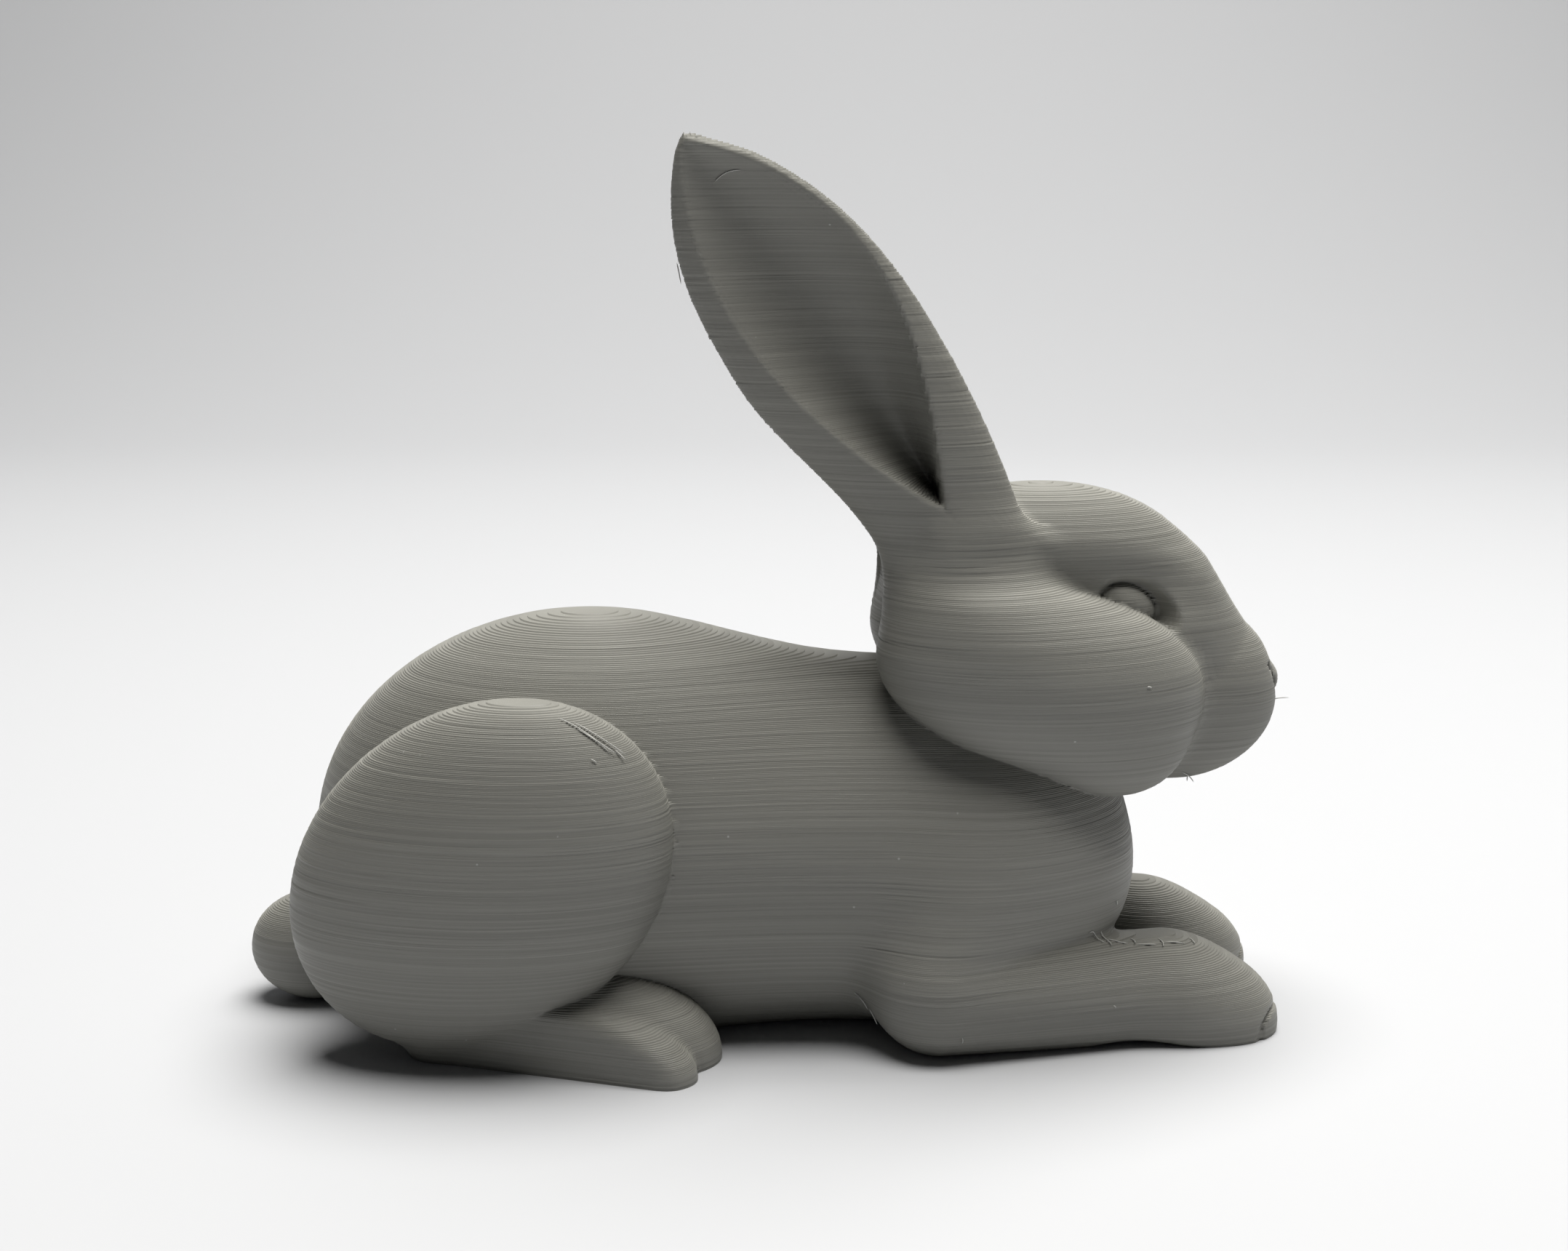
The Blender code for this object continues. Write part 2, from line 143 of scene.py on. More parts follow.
def forearm_form(x, y, z):
    """A tapered limb joined to the egg of the paw, less the arch under it and the toe's crease,
    which is a thin shell round the toe's egg, kept shallow."""
    arm = blend(limb(x, y, z, *FOREARM), egg(x, y, z, *PAW), ARM_BLEND)
    arm = cut_out(arm, egg(x, y, z, *ARCH), ARCH_BLEND)
    half_width, deep = TOE_CREASE
    crease = np.maximum(np.abs(egg(x, y, z, *TOE)) - half_width, -deep - arm)
    return cut_out(arm, crease, TOE_BLEND)


# ---- Haunches ----
# Each haunch is a big flattened egg on the side of the rump, its front end lifted. It is printed
# in one with the trunk, and its edge meets it in a sharp crease.

HAUNCH = ((-34.3, 21.2, 23.7), (26.0, 12.0, 20.5), 36.0, 5.0, 0.0, 2.0, 0.0)


def cushion(x, y, z, centre, radii, lift, swing, lean, power, taper):
    """A superellipse in side view, taller towards its front by the taper, and round through its
    thickness."""
    along, across, up = x - centre[0], y - centre[1], z - centre[2]
    along, across = turned(along, across, swing)
    along, up = turned(along, up, lift)
    up, across = turned(up, across, lean)
    along = along / radii[0]
    up = up / (radii[2] * (1.0 + taper * along))
    side = (np.abs(along) ** power + np.abs(up) ** power) ** (2.0 / power)
    return (np.sqrt(side + (across / radii[1]) ** 2) - 1.0) * radii[1]


def haunch_form(x, y, z):
    """A cushion with the power 2, so an ellipse in side view."""
    return cushion(x, y, z, *HAUNCH)


# ---- Hind feet ----
# Each hind foot is a low wedge that comes out from under its haunch, turned outward, with a
# groove between its two toes. It flows into the haunch at the heel.

FOOT_SIDE = ((-25.2, 24.8, 0.8), (18.8, 8.0, 8.3), -2.0, 17.2)
FOOT_TOES = ((-20.0, 20.7, 2.2), (15.9, 9.5, 9.0), -8.0, 8.0)
FOOT_WALL = ((-42.0, 23.6), 17.2)
FOOT_FILLET = (0.3, 2.6, (-43.0, -34.0))
BETWEEN_TOES = 0.7
WALL_EDGE = 1.2


def foot_fillet(x):
    """How widely a foot flows into its haunch: wide at the heel, a sharp crease ahead of it."""
    ahead, more, heel = FOOT_FILLET
    return ahead + more * (1.0 - ease(x, *heel))


def foot_form(x, y, z):
    """Two toes side by side, cut flat along the outer side."""
    foot = blend(egg(x, y, z, *FOOT_SIDE), egg(x, y, z, *FOOT_TOES), BETWEEN_TOES)
    (start_x, start_y), swing = FOOT_WALL
    ahead, outward = turned(x - start_x, y - start_y, swing)
    return cut_out(foot, -outward, WALL_EDGE)


# ---- Tail ----
# The tail is a short round stub, printed against the back of the rump and resting on the floor
# with it.

TAIL = ((-59.5, 0.0, 7.2), (8.6, 6.8, 7.3))


def tail_form(x, y, z):
    """One egg."""
    return egg(x, y, z, *TAIL)


# ---- Head ----
# The head is cranium, bridge, jaw, lips and nose in one smooth piece, with a small crease round the
# nostrils and a full cheek on each side that creases against the skull under the eye.

CRANIUM = ((37.4, 0.0, 53.3), (21.9, 13.5, 17.2), -22.7, 0.0, 0.0, 2.0, 0.23)
BRIDGE = ((51.8, 0.0, 51.4), (59.0, 0.0, 44.6), 9.55, 8.3)
JAW = ((46.0, 0.0, 41.5), (13.0, 11.5, 10.0), -8.0)
LIPS = ((56.3, 2.0, 40.1), (11.6, 7.0, 8.6), 18.2)
NOSE = ((66.1, 0.0, 44.3), (2.4, 3.1, 2.2), -60.0)
NOSE_CREASE = ((66.3, 3.1, 46.3), (67.8, 2.3, 42.7), 0.5, 0.45)
NOSE_NOTCH = ((68.7, 0.0, 42.6), (67.8, 2.3, 42.7), 0.5, 0.45)
NAPE = ((23.6, 8.5, 50.0), (25.6, 8.8, 61.0), 6.4, 5.6)
TEMPLE = ((37.0, 17.9, 58.6), (27.0, 6.8, 4.6), -3.0, -12.0)
CHEEK = ((36.48, 11.0, 46.14), (20.79, 11.6, 12.19), -20.06, -6.76, 0.0, 2.6, 0.09)
CHEEK_FILLET = (0.3, (5.5, 32.0, 44.0), (1.0, 51.0, 56.0))
FACE_BLEND = 4.0
JAW_BLEND = 5.0
LIPS_BLEND = 2.0
NOSE_BLEND = 0.5
NOSTRIL_BLEND = 0.2


def skull_form(x, y, z):
    """The cranium's cushion blended with a limb for the bridge and eggs for jaw, lips and nose, less
    two thin limbs round the nostril, and with a limb up the nape."""
    skull = blend(cushion(x, y, z, *CRANIUM), limb(x, y, z, *BRIDGE), FACE_BLEND)
    skull = blend(skull, egg(x, y, z, *JAW), JAW_BLEND)
    skull = blend(skull, egg(x, y, z, *LIPS), LIPS_BLEND)
    skull = blend(skull, egg(x, y, z, *NOSE), NOSE_BLEND)
    skull = cut_out(skull, limb(x, y, z, *NOSE_CREASE), NOSTRIL_BLEND)
    skull = cut_out(skull, limb(x, y, z, *NOSE_NOTCH), NOSTRIL_BLEND)
    return blend(skull, limb(x, y, z, *NAPE), FACE_BLEND)


def cheek_form(x, y, z):
    """A cushion a little squarer than an egg, taller towards its front."""
    return cushion(x, y, z, *CHEEK)


def cheek_fillet(x):
    """How widely the cheek flows into the skull: wide behind, sharp under the eye, soft ahead."""
    under_eye, (behind, *cheek_back), (ahead, *muzzle) = CHEEK_FILLET
    return under_eye + behind * (1.0 - ease(x, *cheek_back)) + ahead * ease(x, *muzzle)


def head_form(x, y, z):
    """Skull and cheek run together."""
    return blend(skull_form(x, y, z), cheek_form(x, y, z), cheek_fillet(x))


# ---- Eyes ----
# Each eye is a low plain bulge in an almond recess above the cheek, of the same grey filament and
# printed in one with the head.

EYE = ((47.2, 7.2, 55.1), (4.1, 2.7, 2.8), -25.0, -20.0)
SOCKET = ((48.8, 13.0, 55.6), (6.3, 6.8, 4.5), -25.0, -20.0)
SOCKET_BLEND = 0.6


def eye_form(x, y, z):
    """One egg, turned to lie along the recess."""
    return egg(x, y, z, *EYE)


# ---- Ears ----
# Each ear is a leaf that leans back from the top of the head and thins towards its tip, printed in
# one with the head. Its outer face is scooped, deepest at the foot of the scoop and a little towards
# its front rim.

EAR_ROOT = (24.0, 9.2, 60.0)
EAR_LEAN = 31.1
EAR_TIP = 64.1
EAR_FRONT = (14.2, 26.0, 2.5)
EAR_FRONT_BOW = 0.0041
EAR_REAR = (10.4, 34.0, 2.95)
EAR_SPLAY = 0.02
EAR_STALK = (4.5, 26.0)
EAR_FOOT = (-6.0, 4.0)
EAR_PAST_TIP = 1.02
EAR_FACE = 4.6
EAR_BACK = 7.2
EAR_SLOPE = 0.9
EAR_THINNING = (0.66, 8.0, 56.0, 1.6)
EAR_BLUNT = (114.3, 3.0)
EAR_FILLET = (1.2, 4.2, (-4.0, 2.0), (7.0, 14.0))
SCOOP_START = (7.8, 3.95)
SCOOP_LENGTH = 54.4
SCOOP_TURN = 0.086
SCOOP_FRONT = (11.0, 1.3, 0.75)
SCOOP_REAR = (7.9, 1.15, 0.75)
SCOOP_DEPTH = (8.2, 3.2)
SCOOP_BOWL = (1.0, 1.15, 0.75)
SCOOP_FADE = 5
SCOOP_RIM = 0.8
SCOOP_EDGE = (0.6, 0.7)


def ear_place(x, y, z):
    """Height along the ear, place across it, and distance out from its middle plane."""
    cosine, sine = np.cos(np.radians(EAR_LEAN)), np.sin(np.radians(EAR_LEAN))
    s = (z - EAR_ROOT[2]) * cosine - (x - EAR_ROOT[0]) * sine
    t = (x - EAR_ROOT[0]) * cosine + (z - EAR_ROOT[2]) * sine
    return s, t, y - EAR_ROOT[1] - EAR_SPLAY * s


def bowed(part, size, lean, roundness):
    """A curve from 0 up to its size and back: a power of the sine of a power of the way along."""
    return size * np.sin(np.pi * part**lean) ** roundness


def ear_scoop(s, t, w, face):
    """The scoop's two edges bow out from its pointed foot and close again at the tip, and across it
    the floor bows in. It is deepest at its foot."""
    part = np.clip((s - SCOOP_START[0]) / SCOOP_LENGTH, 0.0, 1.0)
    middle = SCOOP_START[1] - SCOOP_TURN * (s - SCOOP_START[0])
    front = middle + bowed(part, *SCOOP_FRONT)
    rear = middle - bowed(part, *SCOOP_REAR)
    across = np.clip((t - rear) / np.maximum(front - rear, 0.02), 0.0, 1.0)
    depth = (SCOOP_DEPTH[0] - SCOOP_DEPTH[1] * part) * (1.0 - part**SCOOP_FADE)
    floor = SCOOP_RIM * face - depth * bowed(across, *SCOOP_BOWL)
    return cut_out(floor - w, np.minimum(front - t, t - rear), SCOOP_EDGE[0])


def ear_form(x, y, z):
    """An oval section whose edges bow as powers of the way to the tip, less the scoop."""
    s, t, w = ear_place(x, y, z)
    size, start, power = EAR_FRONT
    front = size * (1.0 - np.clip((s - start) / (EAR_TIP - start), 0.0, EAR_PAST_TIP) ** power)
    front = front - EAR_FRONT_BOW * np.maximum(start - s, 0.0) ** 2
    size, start, power = EAR_REAR
    rear = -size * (1.0 - np.clip((s - start) / (EAR_TIP - start), 0.0, EAR_PAST_TIP) ** power)
    narrowing, length = EAR_STALK
    rear = rear + narrowing * ease(start - s, 0.0, length)
    half = np.maximum((front - rear) / 2.0, 0.001)
    loss, start, length, power = EAR_THINNING
    slim = 1.0 - loss * np.clip((s - start) / length, 0.0, 1.0) ** power
    thick = np.where(w > 0.0, EAR_FACE, EAR_BACK) * slim
    oval = np.sqrt(((t - (front + rear) / 2.0) / half) ** 2 + (w / thick) ** 2)
    leaf = (oval - 1.0) * thick * EAR_SLOPE
    leaf = cut_out(leaf, s - EAR_FOOT[0], EAR_FOOT[1])
    leaf = cut_out(leaf, EAR_BLUNT[0] - z, EAR_BLUNT[1])
    return cut_out(leaf, ear_scoop(s, t, w, EAR_FACE * slim), SCOOP_EDGE[1])


def ear_fillet(x, y, z):
    """How widely an ear flows into the head: wide at its outer front, tight behind and between."""
    tight, more, ahead, outward = EAR_FILLET
    return tight + more * ease(ear_place(x, y, z)[1], *ahead) * ease(y, *outward)


# ---- The layers ----
# The whole rabbit is one print, laid down in flat layers of round-edged beads. Each layer here is
# the outline of the form at its own middle height, drawn up with its upper edge a little in, so
# slopes turn into treads and risers as on the print.

LAYER = 0.2
CELL = 0.5
CELL_CORNERS = ((0, 0), (1, 0), (1, 1), (0, 1))
REACH_X = (-70.2, 70.2)
REACH_Y = 34.2
TOP = 115.2
BODY_TOP = 56.0
HAUNCH_TOP = 46.0
FOOT_TOP = 17.0
HEAD_BASE = 28.0
SKULL_TOP = 76.0
CHEEK_TOP = 72.0
SOCKET_SPAN = (50.0, 70.0)
EAR_BASE = 52.0
TAIL_BLEND = 1.0
BEAD_INSET = 0.03
BEAD_ROUNDING = 0.55
LEVEL_NORMAL = 0.6
LAYER_DRIFT = 0.012
EVEN_DRIFT = 0.5
QUICK_DRIFT = 0.6
SLOW_RATES = (0.13, 0.11)
QUICK_RATES = (0.37, 0.31)
DRIFT_SEED = 7
FAR = 9.0


def joined(x, y, z, low=0.0, high=TOP):
    """All the forms run together, leaving out those that don't reach between two heights."""
    whole = np.full(np.broadcast(x, y).shape, FAR)
    if low < BODY_TOP:
        arm = shoulder_form(x, y, z)
        whole = blend(trunk_form(x, y, z), arm, ARM_BLEND)
        whole = blend(whole, forearm_form(x, y, z), CREASE_BLEND)
    if low < HAUNCH_TOP:
        leg = haunch_form(x, y, z)
        if low < FOOT_TOP:
            leg = blend(leg, foot_form(x, y, z), foot_fillet(x))
            whole = blend(whole, tail_form(x, y, z), TAIL_BLEND)
        whole = np.minimum(whole, leg)
    if high > HEAD_BASE:
        head = np.full(whole.shape, FAR)
        if low < SKULL_TOP:
            head = skull_form(x, y, z)
        if high > EAR_BASE:
            head = blend(head, ear_form(x, y, z), ear_fillet(x, y, z))
        if low < SOCKET_SPAN[1] and high > SOCKET_SPAN[0]:
            head = cut_out(head, egg(x, y, z, *TEMPLE), FACE_BLEND)
            head = cut_out(head, egg(x, y, z, *SOCKET), SOCKET_BLEND)
            head = np.minimum(head, eye_form(x, y, z))
        if low < CHEEK_TOP:
            head = blend(head, cheek_form(x, y, z), cheek_fillet(x))
        whole = np.minimum(whole, head)
    return whole


def wave(x, y, rates, turns):
    """A sine along the rabbit times a cosine across it."""
    return np.sin(x * rates[0] + turns[0]) * np.cos(y * rates[1] + turns[1])


def layer_stack():
    """The distance on a square lattice at the middle of each layer, with a slow random drift of
    every layer's outline, and a clear layer below and above."""
    count = round(REACH_Y / CELL)
    across = np.arange(-count, count + 1) * CELL
    along = np.arange(REACH_X[0], REACH_X[1], CELL)
    heights = (np.arange(round(TOP / LAYER)) + 0.5) * LAYER
    stack = np.full((len(heights) + 2, len(along), len(across)), FAR, dtype=np.float32)
    x, y = along[:, None], across[None, count:]
    rng = np.random.default_rng(DRIFT_SEED)
    for layer, height in enumerate(heights):
        half = joined(x, y, height, height, height)
        full = np.concatenate([half[:, :0:-1], half], axis=1)
        turn, size = rng.uniform(0.0, 2.0 * np.pi, 4), rng.normal(0.0, 1.0, 3)
        slow = wave(x, across[None, :], SLOW_RATES, turn[:2])
        quick = wave(x, across[None, :], QUICK_RATES, turn[2:])
        drift = EVEN_DRIFT * size[0] + size[1] * slow + QUICK_DRIFT * size[2] * quick
        stack[layer + 1] = full + LAYER_DRIFT * drift
    return along, across, stack


def corner_sum(values):
    """The sum over the four corners of each lattice cell."""
    return values[:, :-1, :-1] + values[:, 1:, :-1] + values[:, :-1, 1:] + values[:, 1:, 1:]


def slopes_at(stack, layer, i, j):
    """Which way the form itself faces at lattice cells, from differences between neighbours."""
    below, above = np.maximum(layer - 1, 1), np.minimum(layer + 1, len(stack) - 2)
    near = [stack[layer, i + a, j + b] for a, b in CELL_CORNERS]
    over = [stack[above, i + a, j + b] for a, b in CELL_CORNERS]
    under = [stack[below, i + a, j + b] for a, b in CELL_CORNERS]
    slope = np.stack([
        (near[1] + near[2] - near[0] - near[3]) / (2.0 * CELL),
        (near[3] + near[2] - near[0] - near[1]) / (2.0 * CELL),
        (sum(over) - sum(under)) / (4.0 * LAYER * (above - below)),
    ], axis=1)
    return slope / (np.linalg.norm(slope, axis=1, keepdims=True) + 1e-9)


def layered_mesh(along, across, stack):
    """Corners, slopes and triangles of the stepped surface. Every lattice cell that a layer's outline
    runs through has one corner at the mean of its crossings, once at the layer's bottom and once,
    drawn in by the bead's rounding, at its top. Walls join the two, and treads join a top to the
    next layer's bottom or fill the cells between the outlines."""
    solid = stack < 0.0
    inside = corner_sum(solid.astype(np.int8))
    outline = (inside > 0) & (inside < 4)
    layer, i, j = np.nonzero(outline)
    total_x, total_y, crossings = np.zeros(len(layer)), np.zeros(len(layer)), np.zeros(len(layer))
    corners = [stack[layer, i + a, j + b].astype(float) for a, b in CELL_CORNERS]
    for edge in range(4):
        here, there = corners[edge], corners[(edge + 1) % 4]
        crosses = (here < 0.0) != (there < 0.0)
        way = np.where(crosses, here / np.where(crosses, here - there, 1.0), 0.0)
        (a, b), (c, d) = CELL_CORNERS[edge], CELL_CORNERS[(edge + 1) % 4]
        total_x += crosses * (a + (c - a) * way)
        total_y += crosses * (b + (d - b) * way)
        crossings += crosses
    slope = slopes_at(stack, layer, i, j)
    inset = BEAD_INSET / (np.hypot(slope[:, 0], slope[:, 1]) + 1e-9)
    place_x = along[0] + CELL * (i + total_x / crossings)
    place_y = across[0] + CELL * (j + total_y / crossings)
    upper = np.full(outline.shape, -1, dtype=np.int32)
    upper[outline] = np.arange(len(layer))
    lower = np.full(outline.shape, -1, dtype=np.int32)
    lower[outline] = np.arange(len(layer)) + len(layer)
    lower[1:] = np.where(lower[1:] < 0, upper[:-1], lower[1:])
    between = (inside[1:] != inside[:-1]) & (lower[1:] < 0)
    flat_layer, flat_i, flat_j = np.nonzero(between)
    lower[1:][between] = np.arange(len(flat_layer)) + 2 * len(layer)
    points = np.concatenate([
        np.stack([place_x - slope[:, 0] * inset, place_y - slope[:, 1] * inset, layer * LAYER], axis=1),
        np.stack([place_x, place_y, (layer - 1) * LAYER], axis=1),
        np.stack([along[0] + CELL * (flat_i + 0.5), across[0] + CELL * (flat_j + 0.5),
                  flat_layer * LAYER], axis=1),
    ])
    slopes = np.concatenate([slope, slope, slopes_at(stack, flat_layer + 1, flat_i, flat_j)])

    def strip(below, above, k, first, second, out):
        """Quads from two neighbouring cells below to the same two above, facing the way out."""
        four = [below[(k,) + first], below[(k,) + second], above[(k,) + second], above[(k,) + first]]
        quads = np.stack(four, axis=1)
        return np.where(out[:, None], quads, quads[:, ::-1])

    quads = []
    k, i, j = np.nonzero(solid[:, :-1, 1:-1] != solid[:, 1:, 1:-1])
    out = solid[k, i, j + 1]
    quads.append(strip(lower, upper, k, (i, j), (i, j + 1), out))
    quads.append(strip(upper[:-1], lower[1:], k, (i, j), (i, j + 1), out))
    k, i, j = np.nonzero(solid[:, 1:-1, :-1] != solid[:, 1:-1, 1:])
    out = solid[k, i + 1, j]
    quads.append(strip(lower, upper, k, (i + 1, j), (i, j), out))
    quads.append(strip(upper[:-1], lower[1:], k, (i + 1, j), (i, j), out))
    k, i, j = np.nonzero(solid[:-1, 1:-1, 1:-1] != solid[1:, 1:-1, 1:-1])
    out = solid[k, i + 1, j + 1]
    flat = np.stack([lower[k + 1, i + a, j + b] for a, b in CELL_CORNERS], axis=1)
    quads.append(np.where(out[:, None], flat, flat[:, ::-1]))
    quads = np.concatenate(quads)
    triangles = np.concatenate([quads[:, [0, 1, 2]], quads[:, [0, 2, 3]]])
    a, b, c = triangles.T
    return points, slopes, triangles[(a != b) & (b != c) & (c != a)]


def bead_normals(points, slopes, triangles):
    """Normals for each facet's corners: its own way out, turned part of the way to the form's
    slope there, as the round side of a bead catches light from above. A sliver of tread folded
    face down is given the opposite normals, so that it shades like its neighbours."""
    first, second, third = (points[triangles[:, corner]] for corner in range(3))
    facet = np.cross(second - first, third - first)
    facet = facet / (np.linalg.norm(facet, axis=1, keepdims=True) + 1e-12)
    form = slopes[triangles]
    own = form * (1.0, 1.0, 0.0)
    own = own / (np.linalg.norm(own, axis=2, keepdims=True) + 1e-9)
    level = np.abs(facet[:, 2]) > LEVEL_NORMAL
    own[level] = facet[level][:, None]
    folded = level & (facet[:, 2] * form[:, :, 2].mean(axis=1) < 0.0)
    form[folded] = -form[folded]
    normals = own * (1.0 - BEAD_ROUNDING) + form * BEAD_ROUNDING
    return normals / (np.linalg.norm(normals, axis=2, keepdims=True) + 1e-12)


along, across, stack = layer_stack()
points, slopes, triangles = layered_mesh(along, across, stack)
normals = bead_normals(points, slopes, triangles)


# ---- The pieces of the print ----
# The print is one piece of plastic. Its surface is shared out between head, ears, eyes, trunk,
# legs, feet and tail by which form each facet lies nearest to, and each side is a piece of its own.

PARTS = {
    "trunk": trunk_form,
    "foreleg": lambda x, y, z: np.minimum(shoulder_form(x, y, z), forearm_form(x, y, z)),
    "haunch": haunch_form,
    "foot": foot_form,
    "tail": tail_form,
    "head": head_form,
    "ear": ear_form,
    "eye": eye_form,
}


LENGTH = 136.51
MM = (cad_high.x - cad_low.x) / LENGTH
SHARP_ANGLE = 35.0
MAP_ROOM = (0.48, 0.23)
MAP_SPREAD = 0.25


def unwrapped(corners, facets, outward, side):
    """A map in two halves, one for the facets that face out and one for those that face in. Each
    half is the view from that side, spread wider the further back a corner lies, so that level
    treads have room too."""
    low, high = corners.min(axis=0), corners.max(axis=0)
    half = (high - low) / 2.0
    flat = (corners - (low + high) / 2.0)[:, [0, 2]]
    back = 0.5 - side * (corners[:, 1] - (low[1] + high[1]) / 2.0) / (2.0 * half[1])
    back = np.where(outward[:, None], back[facets], 1.0 - back[facets])
    wide = half[0] > half[2]
    room = np.array(MAP_ROOM if wide else MAP_ROOM[::-1])
    scale = (room / half[[0, 2]]).min() / (1.0 + MAP_SPREAD)
    flat = flat[facets] * scale * (1.0 + MAP_SPREAD * back)[:, :, None]
    place = np.where(outward, 0.25, 0.75)[:, None]
    flat[:, :, 1 if wide else 0] += place
    flat[:, :, 0 if wide else 1] += 0.5
    return flat


def new_piece(name, corners, facets, unwrap):
    """A mesh of triangles, from corners in millimetres, with its map."""
    mesh = bpy.data.meshes.new(name)
    mesh.vertices.add(len(corners))
    mesh.vertices.foreach_set("co", (corners * MM).astype(np.float32).ravel())
    mesh.loops.add(facets.size)
    mesh.loops.foreach_set("vertex_index", facets.astype(np.int32).ravel())
    mesh.polygons.add(len(facets))
    mesh.polygons.foreach_set("loop_start", np.arange(0, facets.size, 3, dtype=np.int32))
    mesh.update(calc_edges=True)
    mesh.uv_layers.new(name="OFBake").uv.foreach_set("vector", unwrap.astype(np.float32).ravel())
    piece = bpy.data.objects.new(name, mesh)
    bpy.context.collection.objects.link(piece)
    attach(piece, "root")
    return piece


def print_piece(part, side_name, side, share):
    """One part's facets on one side, with sharp treads and the beads' own normals."""
    used, facets = np.unique(triangles[share], return_inverse=True)
    facets = facets.reshape(-1, 3)
    outward = slopes[triangles[share]][:, :, 1].sum(axis=1) * side >= 0.0
    unwrap = unwrapped(points[used], facets, outward, side)
    piece = new_piece(part + "_print_" + side_name, points[used], facets, unwrap)
    piece.data.set_sharp_from_angle(angle=np.radians(SHARP_ANGLE))
    beads = piece.data.attributes.new("custom_normal", "FLOAT_VECTOR", "CORNER")
    beads.data.foreach_set("vector", normals[share].astype(np.float32).ravel())
    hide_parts(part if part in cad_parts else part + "_" + side_name)
    return piece


centres = points[triangles].mean(axis=1)
near = np.stack([form(centres[:, 0], np.abs(centres[:, 1]), centres[:, 2]) for form in PARTS.values()])
part_of = np.abs(near).argmin(axis=0)
print_pieces = []
for number, part in enumerate(PARTS):
    for side_name, side in (("left", 1.0), ("right", -1.0)):
        share = (part_of == number) & (centres[:, 1] * side >= 0.0)
        print_pieces.append(print_piece(part, side_name, side, share))


# ---- Filament ----
# The print is matte grey filament with a faint sheen. Every layer takes the light a little
# differently, so its walls show long level streaks, some dull and some bright, in loose bands, and
# a little pale dust lies on it.

FILAMENT_GREY = (0.244, 0.242, 0.2215)
FILAMENT_DUST = (0.46, 0.46, 0.45, 1.0)
STREAK_TONE = 0.42
LAYER_TONE = 0.16
BAND_TONE = 0.08
STREAK_STRETCH = (26.0, 26.0, 4600.0)
BAND_STRETCH = (22.0, 22.0, 330.0)
BAND_STRENGTH = (3.0, 0.55, 0.15)
DUST_DENSITY = 190.0
DUST_EDGE = (0.035, 0.015)
ROUGHNESS = 0.5
STREAK_DULLING = -0.45
BAND_DULLING = 0.3
STREAK_DEPTH = 0.00012


def filament_material():
    """Tone is 1 plus streaks times a strength that varies by band, a random step for each layer and
    the band itself, and it scales the grey. Streaks and bands set the roughness too, streaks are in
    slight relief, and dust is a pale speck at the middle of each Voronoi cell."""
    material = bpy.data.materials.new("grey_filament")
    material.use_nodes = True
    nodes, links = material.node_tree.nodes, material.node_tree.links
    shader = nodes["Principled BSDF"]

    def node(kind, **settings):
        made = nodes.new("ShaderNode" + kind)
        for setting, value in settings.items():
            setattr(made, setting, value)
        return made

    where = node("TexCoord").outputs["Object"]

    def maths(operation, first, second):
        made = node("Math", operation=operation)
        for socket, value in zip(made.inputs, (first, second)):
            if isinstance(value, float):
                socket.default_value = value
            else:
                links.new(value, socket)
        return made.outputs[0]

    def noise(stretch, detail):
        place = node("Mapping")
        place.inputs["Scale"].default_value = stretch
        links.new(where, place.inputs["Vector"])
        made = node("TexNoise")
        made.inputs["Scale"].default_value = 1.0
        made.inputs["Detail"].default_value = detail
        links.new(place.outputs[0], made.inputs["Vector"])
        return maths("SUBTRACT", made.outputs[0], 0.5)

    axes = node("SeparateXYZ")
    links.new(where, axes.inputs[0])
    count = maths("FLOOR", maths("MULTIPLY", axes.outputs["Z"], 1000.0 / LAYER), 0.0)
    layer = node("TexWhiteNoise", noise_dimensions="1D")
    links.new(count, layer.inputs["W"])
    streak, band = noise(STREAK_STRETCH, 2.0), noise(BAND_STRETCH, 2.0)
    more, usual, least = BAND_STRENGTH
    strength = maths("MAXIMUM", maths("ADD", maths("MULTIPLY", band, more), usual), least)
    tone = maths("MULTIPLY", maths("MULTIPLY", streak, strength), STREAK_TONE)
    tone = maths("ADD", tone, maths("MULTIPLY", maths("SUBTRACT", layer.outputs[0], 0.5), LAYER_TONE))
    tone = maths("ADD", maths("ADD", tone, maths("MULTIPLY", band, BAND_TONE)), 1.0)
    grey = node("VectorMath", operation="SCALE")
    grey.inputs[0].default_value = FILAMENT_GREY
    links.new(tone, grey.inputs["Scale"])
    dust = node("TexVoronoi")
    dust.inputs["Scale"].default_value = DUST_DENSITY
    links.new(where, dust.inputs["Vector"])
    specks = node("MapRange")
    specks.inputs["From Min"].default_value = DUST_EDGE[0]
    specks.inputs["From Max"].default_value = DUST_EDGE[1]
    links.new(dust.outputs["Distance"], specks.inputs["Value"])
    colour = node("Mix", data_type="RGBA")
    links.new(specks.outputs[0], colour.inputs["Factor"])
    links.new(grey.outputs[0], colour.inputs["A"])
    colour.inputs["B"].default_value = FILAMENT_DUST
    links.new(colour.outputs["Result"], shader.inputs["Base Color"])
    dull = maths("ADD", maths("MULTIPLY", streak, STREAK_DULLING), ROUGHNESS)
    links.new(maths("ADD", dull, maths("MULTIPLY", band, BAND_DULLING)), shader.inputs["Roughness"])
    bump = node("Bump")
    bump.inputs["Strength"].default_value = 0.35
    bump.inputs["Distance"].default_value = STREAK_DEPTH
    links.new(streak, bump.inputs["Height"])
    links.new(bump.outputs[0], shader.inputs["Normal"])
    shader.inputs["Specular IOR Level"].default_value = 0.42
    return material


filament = filament_material()
for piece in print_pieces:
    piece.data.materials.append(filament)


